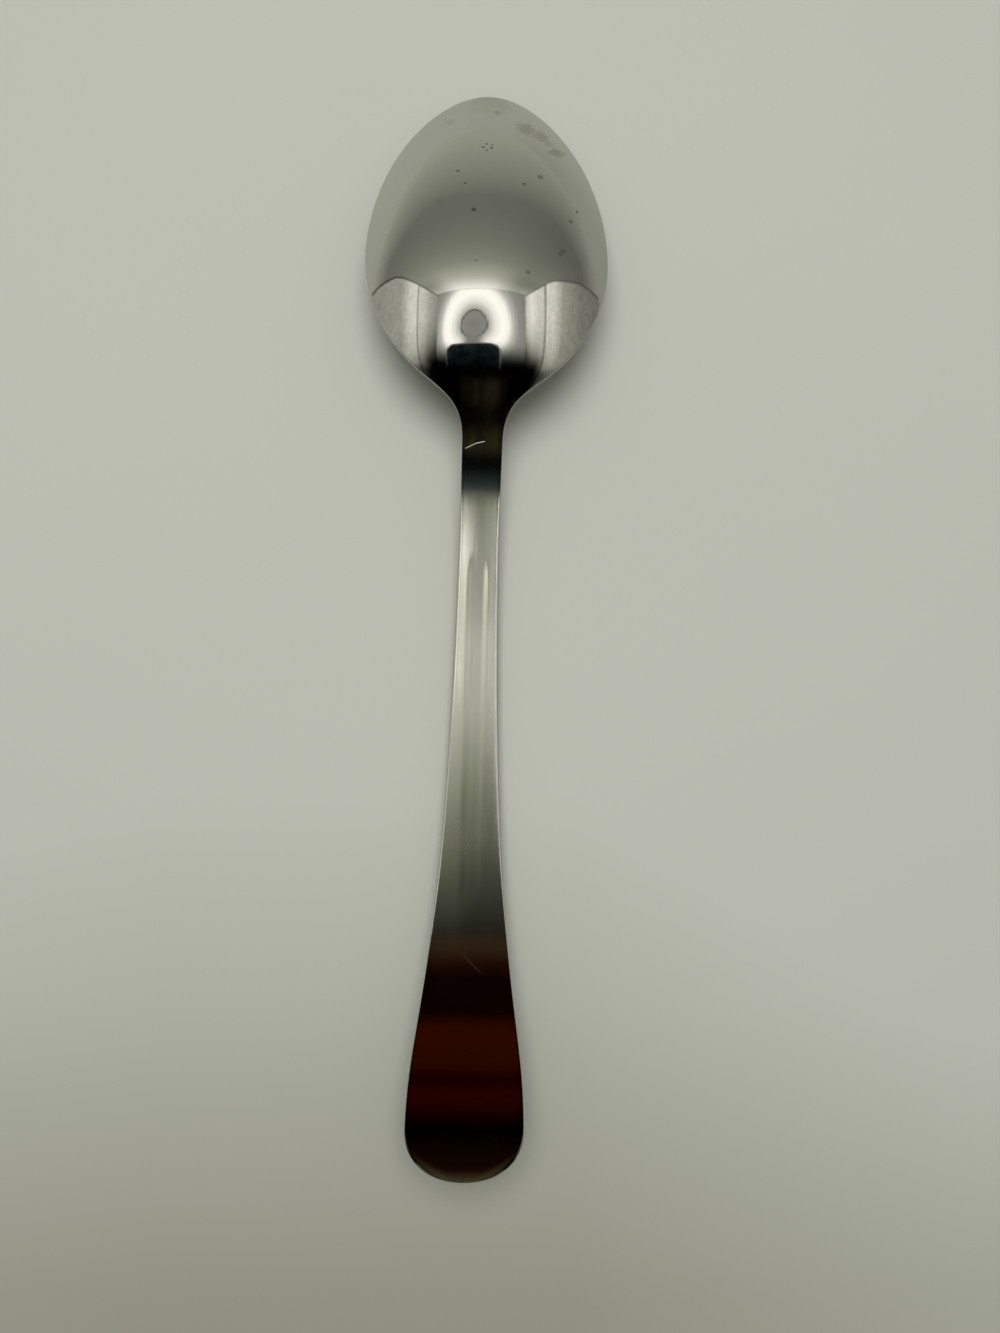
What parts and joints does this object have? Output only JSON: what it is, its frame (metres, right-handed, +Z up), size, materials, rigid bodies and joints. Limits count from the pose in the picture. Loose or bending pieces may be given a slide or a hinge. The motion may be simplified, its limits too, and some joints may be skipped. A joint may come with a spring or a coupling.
{
  "type": "teaspoon",
  "caption": "Plain steel teaspoon with a dished egg-shaped bowl, a stout neck and a flat handle that widens to a rounded end, lying face down.",
  "frame": {"origin": "on the table, under the middle of the spoon's length and width", "axes": "+Y runs from the handle's end to the bowl's tip, +Z is up out of the spoon's back, and +X is to the right as seen from the handle's end"},
  "size_m": [0.0344, 0.152, 0.0147],
  "materials": {
    "stainless_steel": "polished, with fine wear"
  },
  "bodies": {
    "root": {"bowl": "stainless_steel", "neck": "stainless_steel", "handle": "stainless_steel"}
  },
  "joints": []
}
